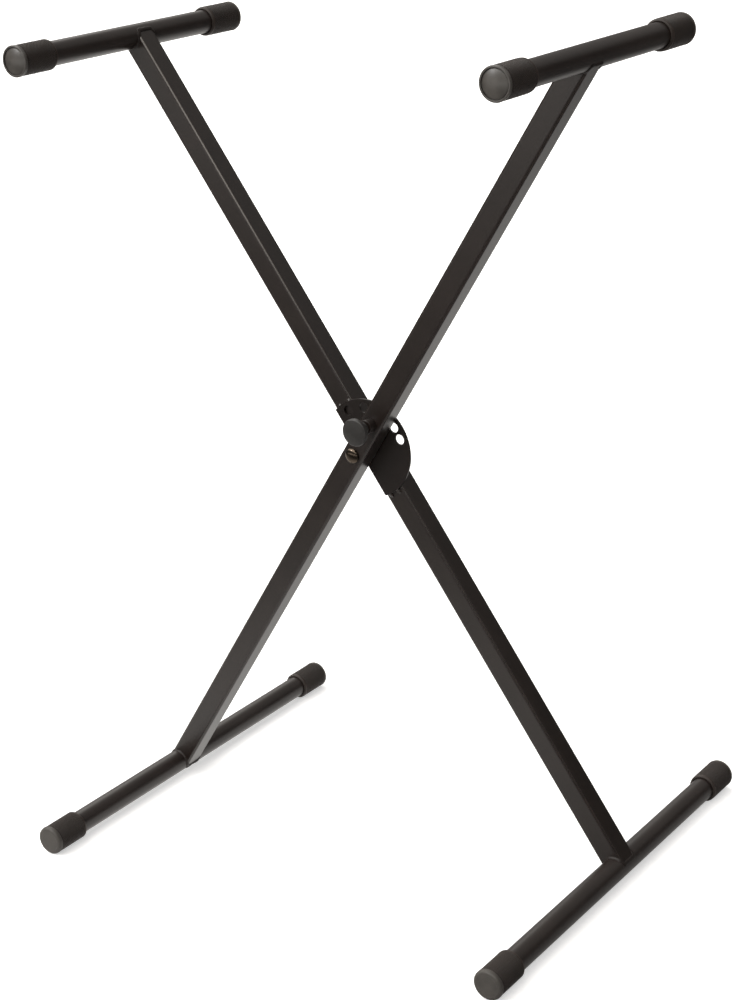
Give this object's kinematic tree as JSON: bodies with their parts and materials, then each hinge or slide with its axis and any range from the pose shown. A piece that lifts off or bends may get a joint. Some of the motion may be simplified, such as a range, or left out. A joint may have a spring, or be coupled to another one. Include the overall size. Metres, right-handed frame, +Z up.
{
  "type": "keyboard stand",
  "caption": "Folding X-shaped keyboard stand: crossed square-tube legs, round cross bars with rubber end caps, and a sprung pin and plate that lock the height.",
  "frame": {"origin": "on the floor, under the pivot bolt and midway between the two legs", "axes": "+Z up, +Y towards the back (the rear leg's side), +X to the right seen from the front; the cross bars run along Y"},
  "size_m": [0.604, 0.503, 0.8773],
  "materials": {
    "powder_coat": "semi-gloss black powder coat",
    "cap_rubber": "moulded black rubber, knurled sleeve, smooth end face",
    "pivot_nickel": "dark nickel plate",
    "plain_steel": "bright zinc",
    "nylon": "black nylon",
    "knob_plastic": "satin black moulding"
  },
  "bodies": {
    "rear_leg": {"rear_leg_tube": "powder_coat", "rear_top_bar": "powder_coat", "rear_foot_bar": "powder_coat", "rear_top_cap_near": "cap_rubber", "rear_top_cap_far": "cap_rubber", "rear_foot_cap_near": "cap_rubber", "rear_foot_cap_far": "cap_rubber", "lock_plate": "powder_coat", "rear_pivot_sleeve": "plain_steel", "pivot_slip_washer": "nylon", "pivot_bolt": "pivot_nickel", "pivot_back_washer": "pivot_nickel", "pivot_lock_nut": "pivot_nickel"},
    "front_leg": {"front_leg_tube": "powder_coat", "front_top_bar": "powder_coat", "front_foot_bar": "powder_coat", "front_top_cap_near": "cap_rubber", "front_top_cap_far": "cap_rubber", "front_foot_cap_near": "cap_rubber", "front_foot_cap_far": "cap_rubber", "front_pivot_sleeve": "plain_steel", "lock_barrel": "powder_coat"},
    "lock_pin_body": {"lock_pin": "plain_steel", "pull_knob": "knob_plastic", "lock_spring": "plain_steel"}
  },
  "joints": [
    {"name": "leg_fold", "type": "hinge", "parent": "rear_leg", "child": "front_leg", "pos_m": [0, 0, 0.44155], "axis": [0, 1, 0], "range_deg": [-63.6, 36]},
    {"name": "lock_pin_slide", "type": "slide", "parent": "front_leg", "child": "lock_pin_body", "axis": [0, -1, 0], "range_m": [-0.0025, 0.004], "stiffness_N_per_m": 3800, "deforming": ["lock_spring"]}
  ]
}
